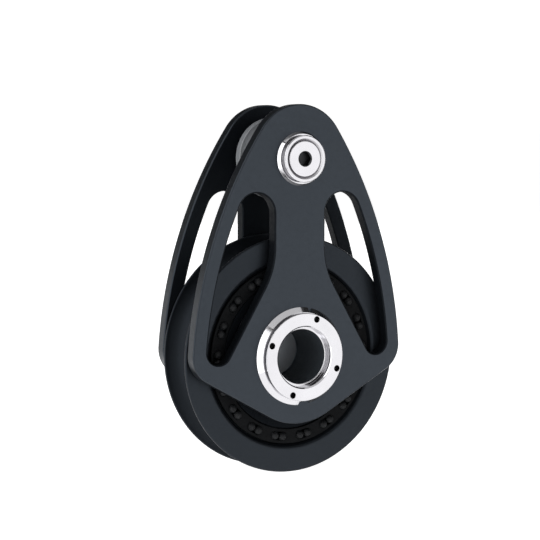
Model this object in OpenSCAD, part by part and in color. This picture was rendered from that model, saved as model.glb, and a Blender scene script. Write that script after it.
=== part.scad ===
// Single sheave block with a loop head.
// Frame: origin at the hub centre on the mid-plane, Y along the sheave axle with the front at -Y,
// +Z towards the head. All sizes are in millimetres.

/* [Side plates] */
// Thickness of each side plate
plate_t = 4; // [3:0.5:5]
// Gap between the two side plates
plate_gap = 17; // [17:0.5:20]
// Height of the centre of the head arc above the hub centre
head_arc_z = 62.4; // [60:0.2:66]
// Radius of the head arc
head_arc_r = 16.1; // [14:0.1:18]
// Distance of each lower corner's centre from the centre line
corner_x = 28.2; // [26:0.1:29]
// Height of each lower corner's centre
corner_z = 1.7; // [0:0.1:4]
// Radius of each lower corner
corner_r = 9; // [7:0.1:10]
// Radius of the plate below the hub
belly_r = 21.4; // [20:0.1:24]
// Radius of the long side arcs
side_arc_r = 142; // [120:1:160]
// Width of the rim outside each cutout
rim_w = 4.7; // [4:0.1:6]
// Half the width of the stem between the cutouts
stem_half = 9; // [7:0.1:10]
// Radius of the upper end of each cutout
cut_top_r = 6.4; // [5:0.1:7]
// Radius of the lower end of each cutout
cut_low_r = 4.1; // [3:0.1:5]
// Height of the centre of each cutout's lower end
cut_low_z = 3; // [2:0.1:5]
// Angle between the flank of the flared stem and the vertical
flare_angle = 30.5; // [28:0.5:33]
// Radius where the stem turns into its flare
flare_r = 25; // [15:1:30]

/* [Sheave] */
// Radius of the sheave over its lips
sheave_r = 37.5; // [36:0.5:40]
// Width of the sheave across its rim faces
sheave_w = 15.6; // [15:0.1:15.8]
// Diameter of the rope groove
groove_d = 13.6; // [12:0.1:14]
// Depth of the rope groove below the lips
groove_depth = 6.4; // [5:0.1:7]
// Inner radius of the flat rim face
rim_face_r = 29.9; // [29.5:0.1:31]

/* [Hub] */
// Radius of the axle's bore
bore_r = 8.5; // [7:0.1:9]
// Radius of the ring nut
nut_r = 13.75; // [13.5:0.05:14]
// How far the ring nut stands out from its plate
nut_proud = 3.3; // [3:0.1:4]
// Radius of the flange washer under the ring nut
hub_washer_r = 15.4; // [15:0.1:17]
// Thickness of the flange washer at the ring nut
hub_washer_t = 1.5; // [1:0.1:1.6]
// Diameter of the circle of spanner holes
spanner_pcd = 24.8; // [24:0.1:25]
// Radius of a spanner hole
spanner_r = 1; // [0.8:0.05:1.1]

/* [Bearings] */
// Number of load rollers
roller_count = 20; // [12:1:22]
// Radius of a load roller
roller_r = 1.75; // [1.5:0.05:1.75]
// Number of pockets in each ball retainer, each holding two balls
pocket_count = 18; // [10:1:20]
// Radius of a thrust ball
ball_r = 1.3; // [1.2:0.05:1.3]
// Radius of the circle of thrust balls
ball_track_r = 26.15; // [26:0.05:26.3]

/* [Head] */
// Height of the head post above the hub centre
post_z = 61.6; // [60:0.1:63]
// Radius of the spool's rims
spool_r = 12.85; // [12:0.05:14]
// Width of the spool
spool_w = 13; // [12:0.1:13.4]
// Radius of the spool's loop groove across its section
spool_groove_r = 3.6; // [3:0.1:4]
// Radius of the post collar's base
collar_base_r = 8.4; // [8:0.1:9]
// Radius of the post collar
collar_r = 7.3; // [7:0.1:7.8]
// How far the post collar stands out from its plate
collar_proud = 2.9; // [2.5:0.1:3.5]
// Width across the flats of the screw's hex socket
hex_af = 4; // [4:0.5:5]

/* [Hidden] */
$fn = 96;

// Radial clearance of a fixed fit, a running fit and the gap between stacked faces
fixed_clear = 0.03;
run_clear = 0.05;
face_clear = 0.05;

// Planes counted outward from the mid-plane
thread_proud = 0.95;
screw_head_t = 1.7;
screw_sunk = 0.1;
inner_face = plate_gap / 2;
outer_face = inner_face + plate_t;
rim_face = sheave_w / 2;
nut_face = outer_face + nut_proud;
axle_end = outer_face + thread_proud;
web_front = 4;
web_rear = 7;
collar_face = outer_face + collar_proud;
screw_top = collar_face - screw_sunk;
screw_seat = screw_top - screw_head_t;

// Hub stack, from the bore outward
thread_r = 10.5;
lip_r = 9.5;
spigot_r = 12.5;
plate_bore_r = spigot_r + run_clear;
shoulder_r = 14;
inner_race_t = 1.5;
outer_race_t = 1.9;
washer_inset = 0.7;
inner_race_r = shoulder_r + inner_race_t;
roller_orbit_r = inner_race_r + fixed_clear + roller_r;
outer_race_bore_r = roller_orbit_r + roller_r + fixed_clear;
outer_race_r = outer_race_bore_r + outer_race_t;
sheave_bore_r = outer_race_r + fixed_clear;
race_half = 7;
roller_half = 5.5;
pocket_clear = 0.06;
cage_t = 1.8;
cage_bore_r = roller_orbit_r - cage_t / 2;
bearing_washer_r = outer_race_r - washer_inset;
spanner_depth = 1.5;
spanner_turn = 70;
nut_mouth = 0.4;
flange_edge = 0.15;

// Angle and width of each notch in the rim of a flange washer
notches = [[77, 1.4], [-85, 4]];
notch_depth = 1.2;

// Side-load track in the sheave's face
track_inner_r = 23.6;
track_outer_r = 28.7;
track_floor = 5.8;
hub_face = 7;
track_wall = 6.6;
lip_round = 0.6;
ball_plane = inner_face - 0.04 - ball_r;
ball_pair = 1.4;
retainer_clear = 0.25;
retainer_low = 6.4;
retainer_high = 7.3;
retainer_slot_r = ball_r + 0.06;

// Head stack
post_r = 7;
post_end_r = 6;
post_thread_r = 3;
post_thread_depth = 9;
screw_head_r = 5.5;
screw_reach = 8;
socket_depth = 2;
socket_mouth_r = 2.45;
collar_base_t = 1.2;
collar_base_top_r = 7.75;
collar_neck_r = 6.95;
collar_neck_t = 1.2;
collar_mouth_r = 6.3;
spool_washer_r = 11;

// Point at distance r from c in direction a
function polar(c, r, a) = c + r * [cos(a), sin(a)];

// Direction from a to b, and the point on that line at distance r from a
function toward(a, b) = (b - a) / norm(b - a);
function along(a, b, r) = a + r * toward(a, b);

// Centre of the arc of radius r that touches circles (a, ra) and (b, rb) from outside both of them
function arc_centre(a, ra, b, rb, r) =
    let (d = norm(b - a), da = r - ra, db = r - rb)
    let (t = (da * da - db * db + d * d) / (2 * d))
    let (h = sqrt(da * da - t * t), u = toward(a, b))
    a + t * u - h * [-u[1], u[0]];

// Plate outline, right half
head_c = [0, head_arc_z];
corner_c = [corner_x, corner_z];
side_c = arc_centre(head_c, head_arc_r, corner_c, corner_r, side_arc_r);
belly_angle = atan2(corner_z, corner_x) - acos((belly_r - corner_r) / norm(corner_c));
core_reach = side_arc_r * 1.1;

// Cutout, right one
cut_arc_r = side_arc_r - rim_w;
cut_top_x = stem_half + cut_top_r;
cut_top_c = [cut_top_x, side_c[1] + sqrt(pow(cut_arc_r - cut_top_r, 2) - pow(cut_top_x - side_c[0], 2))];
cut_low_c = [side_c[0] + sqrt(pow(cut_arc_r - cut_low_r, 2) - pow(cut_low_z - side_c[1], 2)), cut_low_z];
flank = [-cos(flare_angle), -sin(flare_angle)];
flank_point = cut_low_c + cut_low_r * flank;
flare_x = stem_half + flare_r;
flare_z = (flank * flank_point - flare_r - flank[0] * flare_x) / flank[1];
flare_c = [flare_x, flare_z];
flare_end = flare_c + flare_r * flank;

// Turns a profile of [radius, y] points into a solid of revolution about the Y axis
module lathe() { rotate([-90, 0, 0]) rotate_extrude() children(); }

// Extrudes an outline drawn in X and Z from y0 to y1
module slab(y0, y1) { translate([0, y1, 0]) rotate([90, 0, 0]) linear_extrude(y1 - y0) children(); }

// Round bar along Y from y0 to y1
module bar(r, y0, y1) { translate([0, y0, 0]) rotate([-90, 0, 0]) cylinder(h = y1 - y0, r = r); }

// Ring along Y between two radii
module ring(r_in, r_out, y0, y1) {
    lathe() translate([r_in, y0]) square([r_out - r_in, y1 - y0]);
}

// Turns a rear piece into a front one
module front() { mirror([0, 1, 0]) children(); }

// Places children at the rear for side = 1 and at the front for side = -1
module on_side(side) { mirror([0, side < 0 ? 1 : 0, 0]) children(); }

module mirrored_x() {
    children();
    mirror([1, 0, 0]) children();
}

module half_outline() {
    translate(corner_c) circle(corner_r);
    intersection() {
        translate(side_c) circle(side_arc_r, $fn = 480);
        polygon([
            [0, 0], head_c, along(side_c, head_c, core_reach),
            along(side_c, corner_c, core_reach), corner_c
        ]);
    }
    polygon([[0, 0], polar([0, 0], belly_r, belly_angle), polar(corner_c, corner_r, belly_angle), corner_c]);
}

module cutout() {
    translate(cut_top_c) circle(cut_top_r);
    translate(cut_low_c) circle(cut_low_r);
    intersection() {
        translate(side_c) circle(cut_arc_r, $fn = 480);
        polygon([
            [stem_half, cut_top_c[1]], [stem_half, flare_z], flare_end, flank_point, cut_low_c,
            along(side_c, cut_low_c, core_reach), along(side_c, cut_top_c, core_reach), cut_top_c
        ]);
    }
    intersection() {
        translate(flare_c) circle(flare_r, $fn = 240);
        polygon([[stem_half, flare_z], flare_end, [stem_half - 1, flare_end[1]], [stem_half - 1, flare_z]]);
    }
}

module side_plate() {
    difference() {
        slab(inner_face, outer_face) difference() {
            union() {
                mirrored_x() half_outline();
                translate(head_c) circle(head_arc_r);
                circle(belly_r);
            }
            mirrored_x() cutout();
        }
        bar(plate_bore_r, inner_face - 1, outer_face + 1);
        translate([0, 0, post_z]) bar(post_end_r + fixed_clear, inner_face - 1, outer_face + 1);
    }
}

module front_side_plate() { color("#3c4147") front() side_plate(); }

module rear_side_plate() { color("#3c4147") side_plate(); }

module sheave() {
    half = [
        [sheave_bore_r, hub_face], [track_inner_r, hub_face], [track_inner_r, track_floor],
        [track_outer_r, track_floor], [track_outer_r, track_wall], [rim_face_r, rim_face],
        for (a = [90:-15:0]) polar([sheave_r - lip_round, rim_face - lip_round], lip_round, a)
    ];
    other = [for (i = [len(half) - 1:-1:0]) [half[i][0], -half[i][1]]];
    color("#2c3035") lathe() difference() {
        polygon(concat(half, other));
        translate([sheave_r - groove_depth + groove_d / 2, 0]) circle(groove_d / 2);
    }
}

module outer_race() { color("#9a9c9e") ring(outer_race_bore_r, outer_race_r, -race_half, race_half); }

module hub_axle() {
    color("#a6a8aa") difference() {
        union() {
            bar(thread_r, -axle_end, axle_end);
            bar(shoulder_r, -inner_face, inner_face);
        }
        bar(bore_r, -axle_end - 1, web_front);
        bar(bore_r, web_rear, axle_end + 1);
    }
}

module inner_race() {
    color("#9a9c9e") ring(shoulder_r + fixed_clear, inner_race_r, -race_half, race_half);
}

module roller_set() {
    color("#c8b070") for (i = [0:roller_count - 1])
        rotate([0, i * 360 / roller_count, 0]) translate([roller_orbit_r, 0, 0])
            bar(roller_r, -roller_half, roller_half);
}

module roller_cage() {
    pocket = [4 * cage_t, 2 * (roller_half + pocket_clear), 2 * (roller_r + pocket_clear)];
    color("#1e2022") difference() {
        ring(cage_bore_r, cage_bore_r + cage_t, -race_half, race_half);
        for (i = [0:roller_count - 1])
            rotate([0, i * 360 / roller_count, 0]) translate([roller_orbit_r, 0, 0])
                cube(pocket, center = true);
    }
}

module bearing_washer() {
    ring(shoulder_r + fixed_clear, bearing_washer_r, race_half + 4 * face_clear, inner_face - face_clear);
}

module front_bearing_washer() { color("#1e2022") front() bearing_washer(); }

module rear_bearing_washer() { color("#1e2022") bearing_washer(); }

// Places children once at each pocket of a ball retainer
module at_pockets() {
    for (i = [0:pocket_count - 1])
        rotate([0, (i + 0.5) * 360 / pocket_count, 0]) translate([0, 0, ball_track_r]) children();
}

module thrust_balls() {
    at_pockets() for (s = [-1, 1]) translate([s * ball_pair, ball_plane, 0]) sphere(ball_r, $fn = 24);
}

module front_thrust_balls() { color("#b9babb") front() thrust_balls(); }

module rear_thrust_balls() { color("#b9babb") thrust_balls(); }

module ball_retainer() {
    slot_depth = retainer_high - retainer_low + 2;
    difference() {
        ring(track_inner_r + retainer_clear, track_outer_r - retainer_clear, retainer_low, retainer_high);
        at_pockets() {
            for (s = [-1, 1]) translate([s * ball_pair, 0, 0])
                bar(retainer_slot_r, retainer_low - 1, retainer_high + 1);
            translate([0, retainer_low - 1 + slot_depth / 2, 0])
                cube([2 * ball_pair, slot_depth, 2 * retainer_slot_r], center = true);
        }
    }
}

module front_ball_retainer() { color("#1e2022") front() ball_retainer(); }

module rear_ball_retainer() { color("#1e2022") ball_retainer(); }

module hub_washer() {
    top = outer_face + hub_washer_t;
    difference() {
        lathe() polygon([
            [plate_bore_r, outer_face], [hub_washer_r, outer_face], [hub_washer_r, outer_face + flange_edge],
            [nut_r + flange_edge, top], [plate_bore_r, top]
        ]);
        for (notch = notches)
            rotate([0, -notch[0], 0]) translate([hub_washer_r, outer_face, 0])
                cube([2 * notch_depth, 4 * hub_washer_t, notch[1]], center = true);
    }
}

module front_hub_washer() { color("#d8d9da") front() hub_washer(); }

module rear_hub_washer() { color("#d8d9da") hub_washer(); }

module hub_nut() {
    head_low = outer_face + hub_washer_t;
    difference() {
        lathe() polygon([
            [lip_r, nut_face - nut_mouth], [lip_r + nut_mouth, nut_face], [nut_r, nut_face],
            [nut_r, head_low], [spigot_r, head_low], [spigot_r, inner_face + face_clear],
            [thread_r + fixed_clear, inner_face + face_clear],
            [thread_r + fixed_clear, axle_end], [lip_r, axle_end]
        ]);
        for (i = [0:3])
            rotate([0, -spanner_turn - 90 * i, 0]) translate([spanner_pcd / 2, 0, 0])
                bar(spanner_r, nut_face - spanner_depth, nut_face + 1);
    }
}

module front_hub_nut() { color("#e2e3e4") front() hub_nut(); }

module rear_hub_nut() { color("#e2e3e4") hub_nut(); }

module head_post() {
    color("#a6a8aa") translate([0, 0, post_z]) difference() {
        union() {
            bar(post_r, -inner_face, inner_face);
            bar(post_end_r, -outer_face, outer_face);
        }
        for (side = [-1, 1]) on_side(side)
            bar(post_thread_r + fixed_clear, outer_face - post_thread_depth, outer_face + 1);
    }
}

module loop_spool() {
    color("#b4b6b8") translate([0, 0, post_z]) lathe() difference() {
        translate([post_r + run_clear, -spool_w / 2]) square([spool_r - post_r - run_clear, spool_w]);
        translate([spool_r, 0]) circle(spool_groove_r);
    }
}

module spool_washer() {
    translate([0, 0, post_z])
        ring(post_r + fixed_clear, spool_washer_r, spool_w / 2 + face_clear, inner_face - face_clear);
}

module front_spool_washer() { color("#1e2022") front() spool_washer(); }

module rear_spool_washer() { color("#1e2022") spool_washer(); }

module post_collar() {
    seat_r = screw_head_r + run_clear;
    base_top = outer_face + collar_base_t;
    neck_top = base_top + collar_neck_t;
    translate([0, 0, post_z]) lathe() polygon([
        [post_thread_r + fixed_clear, outer_face], [collar_base_r, outer_face],
        [collar_base_r, outer_face + flange_edge], [collar_base_top_r, base_top], [collar_neck_r, base_top],
        [collar_neck_r, neck_top], [collar_r, neck_top], [collar_r, collar_face], [collar_mouth_r, collar_face],
        [seat_r, collar_face - collar_mouth_r + seat_r], [seat_r, screw_seat],
        [post_thread_r + fixed_clear, screw_seat]
    ]);
}

module front_post_collar() { color("#e2e3e4") front() post_collar(); }

module rear_post_collar() { color("#e2e3e4") post_collar(); }

module post_screw() {
    countersink_low = screw_top - socket_mouth_r + hex_af / 2;
    translate([0, 0, post_z]) difference() {
        union() {
            bar(screw_head_r, screw_seat, screw_top);
            bar(post_thread_r, outer_face - screw_reach, screw_seat + screw_head_t / 2);
        }
        translate([0, screw_top - socket_depth, 0]) rotate([-90, 0, 0])
            cylinder(h = socket_depth + 1, r = hex_af / sqrt(3), $fn = 6);
        lathe() polygon([
            [0, countersink_low], [hex_af / 2, countersink_low], [socket_mouth_r, screw_top],
            [socket_mouth_r, screw_top + 1], [0, screw_top + 1]
        ]);
    }
}

module front_post_screw() { color("#e2e3e4") front() post_screw(); }

module rear_post_screw() { color("#e2e3e4") post_screw(); }

front_side_plate();
rear_side_plate();
sheave();
outer_race();
hub_axle();
inner_race();
roller_set();
roller_cage();
front_bearing_washer();
rear_bearing_washer();
front_thrust_balls();
rear_thrust_balls();
front_ball_retainer();
rear_ball_retainer();
front_hub_washer();
rear_hub_washer();
front_hub_nut();
rear_hub_nut();
head_post();
loop_spool();
front_spool_washer();
rear_spool_washer();
front_post_collar();
rear_post_collar();
front_post_screw();
rear_post_screw();
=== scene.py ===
"""Single sheave block: the looks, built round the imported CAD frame.

Frame: origin at the hub centre on the mid-plane, Y along the sheave's axle with the front at -Y, and
+Z towards the head. Named sizes are in millimetres, and become metres when a mesh is made.
"""
import math

import bpy
from mathutils import Matrix, Vector
from mathutils.geometry import delaunay_2d_cdt


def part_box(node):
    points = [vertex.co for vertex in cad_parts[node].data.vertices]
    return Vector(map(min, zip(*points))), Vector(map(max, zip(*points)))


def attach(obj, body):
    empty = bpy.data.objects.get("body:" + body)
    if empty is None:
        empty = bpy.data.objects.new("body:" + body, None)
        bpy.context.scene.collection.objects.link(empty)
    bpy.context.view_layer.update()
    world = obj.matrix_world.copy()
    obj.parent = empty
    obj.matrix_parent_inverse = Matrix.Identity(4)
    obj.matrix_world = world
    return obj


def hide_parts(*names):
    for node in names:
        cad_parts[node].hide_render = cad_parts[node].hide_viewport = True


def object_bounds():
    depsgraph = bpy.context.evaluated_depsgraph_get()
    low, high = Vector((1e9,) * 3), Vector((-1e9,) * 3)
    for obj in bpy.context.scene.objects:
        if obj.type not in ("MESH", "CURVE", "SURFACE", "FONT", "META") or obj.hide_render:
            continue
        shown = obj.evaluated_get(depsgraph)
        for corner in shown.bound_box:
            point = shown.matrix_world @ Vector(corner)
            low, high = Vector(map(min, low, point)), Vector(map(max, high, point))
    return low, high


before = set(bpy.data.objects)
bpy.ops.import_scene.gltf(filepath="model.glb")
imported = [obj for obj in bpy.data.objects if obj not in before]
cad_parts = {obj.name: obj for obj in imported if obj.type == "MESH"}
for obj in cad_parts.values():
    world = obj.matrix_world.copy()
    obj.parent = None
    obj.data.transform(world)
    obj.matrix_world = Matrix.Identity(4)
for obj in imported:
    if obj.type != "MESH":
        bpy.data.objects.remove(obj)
CAD_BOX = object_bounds()
MM = 0.001


def node_box(name):
    """Lowest and highest corner of a CAD node, in millimetres."""
    low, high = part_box(name)
    return low / MM, high / MM


def reach(name):
    """A CAD node's highest x, which is the radius of a round one, and its highest y."""
    high = node_box(name)[1]
    return high.x, high.y


def base(name):
    """A CAD node's lowest y, which is the inner face of a rear one."""
    return node_box(name)[0].y


# ---------------------------------------------------------------- sizes read from the frame
INNER_FACE, OUTER_FACE = base("rear_side_plate"), reach("rear_side_plate")[1]
SHEAVE_R, RIM_FACE = reach("sheave")
NUT_R, NUT_FACE = reach("rear_hub_nut")
HUB_WASHER_R, HUB_WASHER_TOP = reach("rear_hub_washer")
SHOULDER_R, AXLE_END = reach("hub_axle")
RETAINER_R, RETAINER_TOP = reach("rear_ball_retainer")
RETAINER_BASE = base("rear_ball_retainer")
BALLS_Y = (base("rear_thrust_balls") + reach("rear_thrust_balls")[1]) / 2
COLLAR_BASE_R, COLLAR_FACE = reach("rear_post_collar")
SCREW_HEAD_R, SCREW_TOP = reach("rear_post_screw")
SCREW_LOW = base("rear_post_screw")
POST_R, POST_END = reach("head_post")
SPOOL_R, SPOOL_HALF = reach("loop_spool")
POST_Z = (node_box("loop_spool")[0].z + node_box("loop_spool")[1].z) / 2
SPOOL_WASHER_R, SPOOL_WASHER_TOP = reach("rear_spool_washer")
SPOOL_WASHER_BASE = base("rear_spool_washer")

# ---------------------------------------------------------------- sizes that the boxes don't give
# Side plates: the arcs of the head, corners, belly and sides, then the cutouts and the two bores
HEAD_ARC_Z, HEAD_ARC_R = 62.4, 16.1
CORNER, CORNER_R = Vector((28.2, 1.7)), 9.0
BELLY_R, SIDE_ARC_R = 21.4, 142.0
RIM_W, STEM_HALF = 4.7, 9.0
CUT_TOP_R, CUT_LOW_R, CUT_LOW_Z = 6.4, 4.1, 3.0
FLARE_ANGLE, FLARE_R = 30.5, 25.0
PLATE_BORE_R, PLATE_POST_R = 12.55, 6.03

# Sheave: its bore, the track for the side-load balls, the rim's face and the rope groove
SHEAVE_BORE_R, HUB_FACE = 21.0, 7.0
TRACK_INNER_R, TRACK_OUTER_R, TRACK_FLOOR, TRACK_WALL = 23.6, 28.7, 5.8, 6.6
RIM_FACE_R, GROOVE_R, GROOVE_DEPTH = 29.9, 6.8, 6.4

# Hub: the hollow axle and its web, the nuts' spanner holes, and the washers' (angle, width) notches
BORE_R, THREAD_R, LIP_R, SPIGOT_R = 8.5, 10.5, 9.5, 12.5
WEB_FRONT, WEB_REAR = 4.0, 7.0
SPANNER_RING_R, SPANNER_TURN, SPANNER_R, SPANNER_DEPTH, SPANNER_TIP = 12.4, 70, 1.0, 1.5, 0.5
NUT_MOUTH, FLANGE_EDGE = 0.4, 0.15
NOTCHES, NOTCH_DEPTH, NOTCH_LEAN = ((77, 1.4), (-85, 4.0)), 1.2, 0.3

# Side-load bearings: two balls in each slot of a retainer
POCKETS, BALL_TRACK_R, BALL_R, BALL_PAIR = 18, 26.15, 1.3, 1.4
SLOT_R, RETAINER_GAP = 1.36, 0.25

# Head: the collars, the screws and their hexagon sockets, the post and the spool
COLLAR_R, COLLAR_BASE_T, COLLAR_BASE_TOP_R, COLLAR_MOUTH_R = 7.3, 1.2, 7.75, 6.3
NECK_R, NECK_T = 6.95, 1.2
SCREW_HEAD_T, SHANK_R = 1.7, 3.0
SOCKET_AF, SOCKET_DEPTH, SOCKET_TIP, SOCKET_MOUTH_R = 4.0, 2.0, 0.6, 2.45
POST_END_R, POST_THREAD_R, POST_THREAD_DEPTH = 6.0, 3.03, 9.0
SPOOL_BORE_R, SPOOL_GROOVE_R = 7.05, 3.6

# Clearances: of a bore or thread round what it holds, and of a seat
BORE_GAP, SEAT_GAP = 0.03, 0.05

# Edge roundings: the usual one, those of finer edges, then those of one piece's own edges
EDGE, FINE_EDGE, THIN_EDGE, KEEN_EDGE, CRISP_EDGE, SOFT_EDGE = 0.3, 0.2, 0.15, 0.1, 0.05, 0.35
PLATE_ROUND, TRACK_EDGE, TRACK_MOUTH, RIM_SHOULDER, RIM_EDGE = 0.45, 0.25, 0.4, 1.6, 0.55
SPANNER_EDGE, SPOOL_EDGE, SPOOL_LIP, SCREW_POINT = 0.08, 0.5, 0.4, 0.5

# Where a finish or its painted-shade copy ends: inside the sheave's rim shoulder and outside its bore,
# and inside the axle's bore
WEB_MARGIN, BORE_MARGIN, AXLE_WEB_MARGIN = 0.4, 1, 0.5

# Steps of a rounded corner, of a plate's edge and of a hole's mouth
CORNER_STEPS, EDGE_STEPS, MOUTH_STEPS = 5, 4, 3

# Tolerances: points that are the same, and points of the same surface
TOUCH, NEAR = 1e-6, 0.01
MERGE_DIGITS, NO_AREA, CAP_TOLERANCE = 6, 1e-9, 1e-7


# ---------------------------------------------------------------- mesh building
class Shell:
    """Collects vertices, faces and exact corner normals, in millimetres."""

    def __init__(self):
        self.verts, self.faces, self.normals, self.slots = [], [], [], []
        self.index = {}

    def vert(self, point):
        """Index of the vertex at a point, which is made once."""
        place = tuple(round(c, MERGE_DIGITS) for c in point)
        if place not in self.index:
            self.index[place] = len(self.verts)
            self.verts.append(Vector(point))
        return self.index[place]

    def face(self, corners, normals, slot=0):
        """Adds a face without its repeated corners, wound so that it faces the way its normals point."""
        kept = [k for k in range(len(corners)) if corners[k] != corners[k - 1]]
        corners, normals = [corners[k] for k in kept], [normals[k] for k in kept]
        if len(corners) < 3:
            return
        points = [self.verts[i] for i in corners]
        area = Vector((0, 0, 0))
        for a, b in zip(points, points[1:] + points[:1]):
            area += a.cross(b)
        if area.length < NO_AREA:
            return
        if area.dot(sum(normals, Vector((0, 0, 0)))) < 0:
            corners, normals = corners[::-1], normals[::-1]
        self.faces.append(list(corners))
        self.normals.extend(normals)
        self.slots.append(slot)

    def strip(self, ring_a, ring_b, normals_a, normals_b, slot=0):
        """Joins two closed rings of equally many vertices with quads."""
        count = len(ring_a)
        for i in range(count):
            j = (i + 1) % count
            self.face([ring_a[i], ring_a[j], ring_b[j], ring_b[i]],
                      [normals_a[i], normals_a[j], normals_b[j], normals_b[i]], slot)

    def cone(self, outer, inner, normals, slot=0):
        """Joins a ring to a smaller one inside it, with another number of vertices, by triangles.

        Both rings are anticlockwise. normals are the outer ring's.
        """
        middle = sum((self.verts[i] for i in outer), Vector((0, 0, 0))) / len(outer)

        def turn(i):
            """Angle of a vertex about the middle, from 0 to a full turn."""
            return math.atan2(self.verts[i].z - middle.z, self.verts[i].x - middle.x) % (2 * math.pi)

        start = min(range(len(inner)), key=lambda k: turn(inner[k]))
        inner = inner[start:] + inner[:start]
        start = min(range(len(outer)), key=lambda k: turn(outer[k]))
        outer, normals = outer[start:] + outer[:start], normals[start:] + normals[:start]
        a = b = 0
        while a < len(outer) or b < len(inner):
            next_outer = turn(outer[(a + 1) % len(outer)]) + 2 * math.pi * ((a + 1) // len(outer))
            next_inner = turn(inner[(b + 1) % len(inner)]) + 2 * math.pi * ((b + 1) // len(inner))
            here, normal = outer[a % len(outer)], normals[a % len(outer)]
            if a < len(outer) and (b >= len(inner) or next_outer <= next_inner):
                corners = [here, outer[(a + 1) % len(outer)], inner[b % len(inner)]]
                self.face(corners, [normal, normals[(a + 1) % len(outer)], normal], slot)
                a += 1
            else:
                self.face([here, inner[(b + 1) % len(inner)], inner[b % len(inner)]], [normal] * 3, slot)
                b += 1

    def cap(self, rings, side, slot=0):
        """Fills the flat region between the first ring and the others, facing side (-1 or 1) along Y."""
        index, points, loops = [], [], []
        for ring in rings:
            loops.append(list(range(len(index), len(index) + len(ring))))
            index.extend(ring)
            points.extend(Vector((self.verts[i].x, self.verts[i].z)) for i in ring)
        edges = [(a, b) for loop in loops for a, b in zip(loop, loop[1:] + loop[:1])]
        places, _, triangles, sources, _, _ = delaunay_2d_cdt(points, edges, [], 0, CAP_TOLERANCE)
        normal = Vector((0, side, 0))
        outlines = [[points[i] for i in loop] for loop in loops]
        for triangle in triangles:
            middle = sum((places[i] for i in triangle), Vector((0, 0))) / 3
            if sum(inside(middle, outline) for outline in outlines) % 2:
                self.face([index[sources[i][0]] for i in triangle], [normal] * 3, slot)

    def build(self, node, body, materials):
        """Makes the piece that stands for a CAD node and rides on its body."""
        mesh = bpy.data.meshes.new(node + "_fine")
        mesh.from_pydata([v * MM for v in self.verts], [], self.faces)
        mesh.polygons.foreach_set("use_smooth", [True] * len(self.faces))
        mesh.normals_split_custom_set(self.normals)
        for material in materials:
            mesh.materials.append(material)
        mesh.polygons.foreach_set("material_index", self.slots)
        piece = bpy.data.objects.new(node + "_fine", mesh)
        bpy.context.scene.collection.objects.link(piece)
        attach(piece, body)
        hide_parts(node)


def inside(point, outline):
    """True if a 2D point lies in a closed outline, by counting the edges crossed on a ray."""
    hit = False
    for a, b in zip(outline, outline[1:] + outline[:1]):
        crosses = (a.y > point.y) != (b.y > point.y)
        if crosses and point.x < a.x + (point.y - a.y) / (b.y - a.y) * (b.x - a.x):
            hit = not hit
    return hit


def polar(angle):
    """Unit vector at an angle in degrees."""
    return Vector((math.cos(math.radians(angle)), math.sin(math.radians(angle))))


def direction(a, b):
    """Angle in degrees of the line from a to b."""
    return math.degrees(math.atan2(b.y - a.y, b.x - a.x))


def arc(centre, radius, start, stop, step=4, outward=1):
    """Points of an arc with their normals: [(point, normal), ...]. outward is -1 for a hole's rim."""
    steps = max(2, math.ceil(abs(stop - start) / step))
    spokes = [polar(start + (stop - start) * i / steps) for i in range(steps + 1)]
    return [(centre + radius * spoke, outward * spoke) for spoke in spokes]


def ring_outline(centre, radius, count, outward=1):
    """A full circle as an outline, in the same form as an arc."""
    spokes = [polar(360 * i / count) for i in range(count)]
    return [(centre + radius * spoke, outward * spoke) for spoke in spokes]


def mirrored(outline):
    """An outline's mirror image across x = 0, in reverse order."""
    return [(Vector((-p.x, p.y)), Vector((-n.x, n.y))) for p, n in reversed(outline)]


def edge_profile(low, high, rounding):
    """Cross-section of a wall with both edges rounded: [(inset, y, outward share, y share), ...]."""
    turns = [math.radians(90 * i / EDGE_STEPS) for i in range(EDGE_STEPS + 1)]
    waves = [(math.sin(turn), math.cos(turn)) for turn in turns]
    lower = [(rounding * (1 - sin), low + rounding * (1 - cos), sin, -cos) for sin, cos in waves]
    upper = [(rounding * (1 - cos), high - rounding * (1 - sin), cos, sin) for sin, cos in waves]
    return lower + upper


def wall(shell, outline, profile, slot=0):
    """Sweeps a wall's cross-section round an outline. Returns its first and last rings."""
    rings, tops = [], []
    for inset, y, out, up in profile:
        rings.append([shell.vert((p.x - n.x * inset, y, p.y - n.y * inset)) for p, n in outline])
        tops.append([Vector((n.x * out, up, n.y * out)) for _, n in outline])
    for i in range(len(rings) - 1):
        shell.strip(rings[i], rings[i + 1], tops[i], tops[i + 1], slot)
    return rings[0], rings[-1]


def slab(shell, outlines, low, high, rounding, low_slot=0, high_slot=0, wall_slots=None):
    """A flat plate between two planes with rounded edges. wall_slots has one slot for each outline."""
    profile = edge_profile(low, high, rounding)
    wall_slots = wall_slots or [0] * len(outlines)
    rims = [wall(shell, outline, profile, slot) for outline, slot in zip(outlines, wall_slots)]
    lows, highs = zip(*rims)
    shell.cap(lows, -1, low_slot)
    shell.cap(highs, 1, high_slot)


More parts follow.
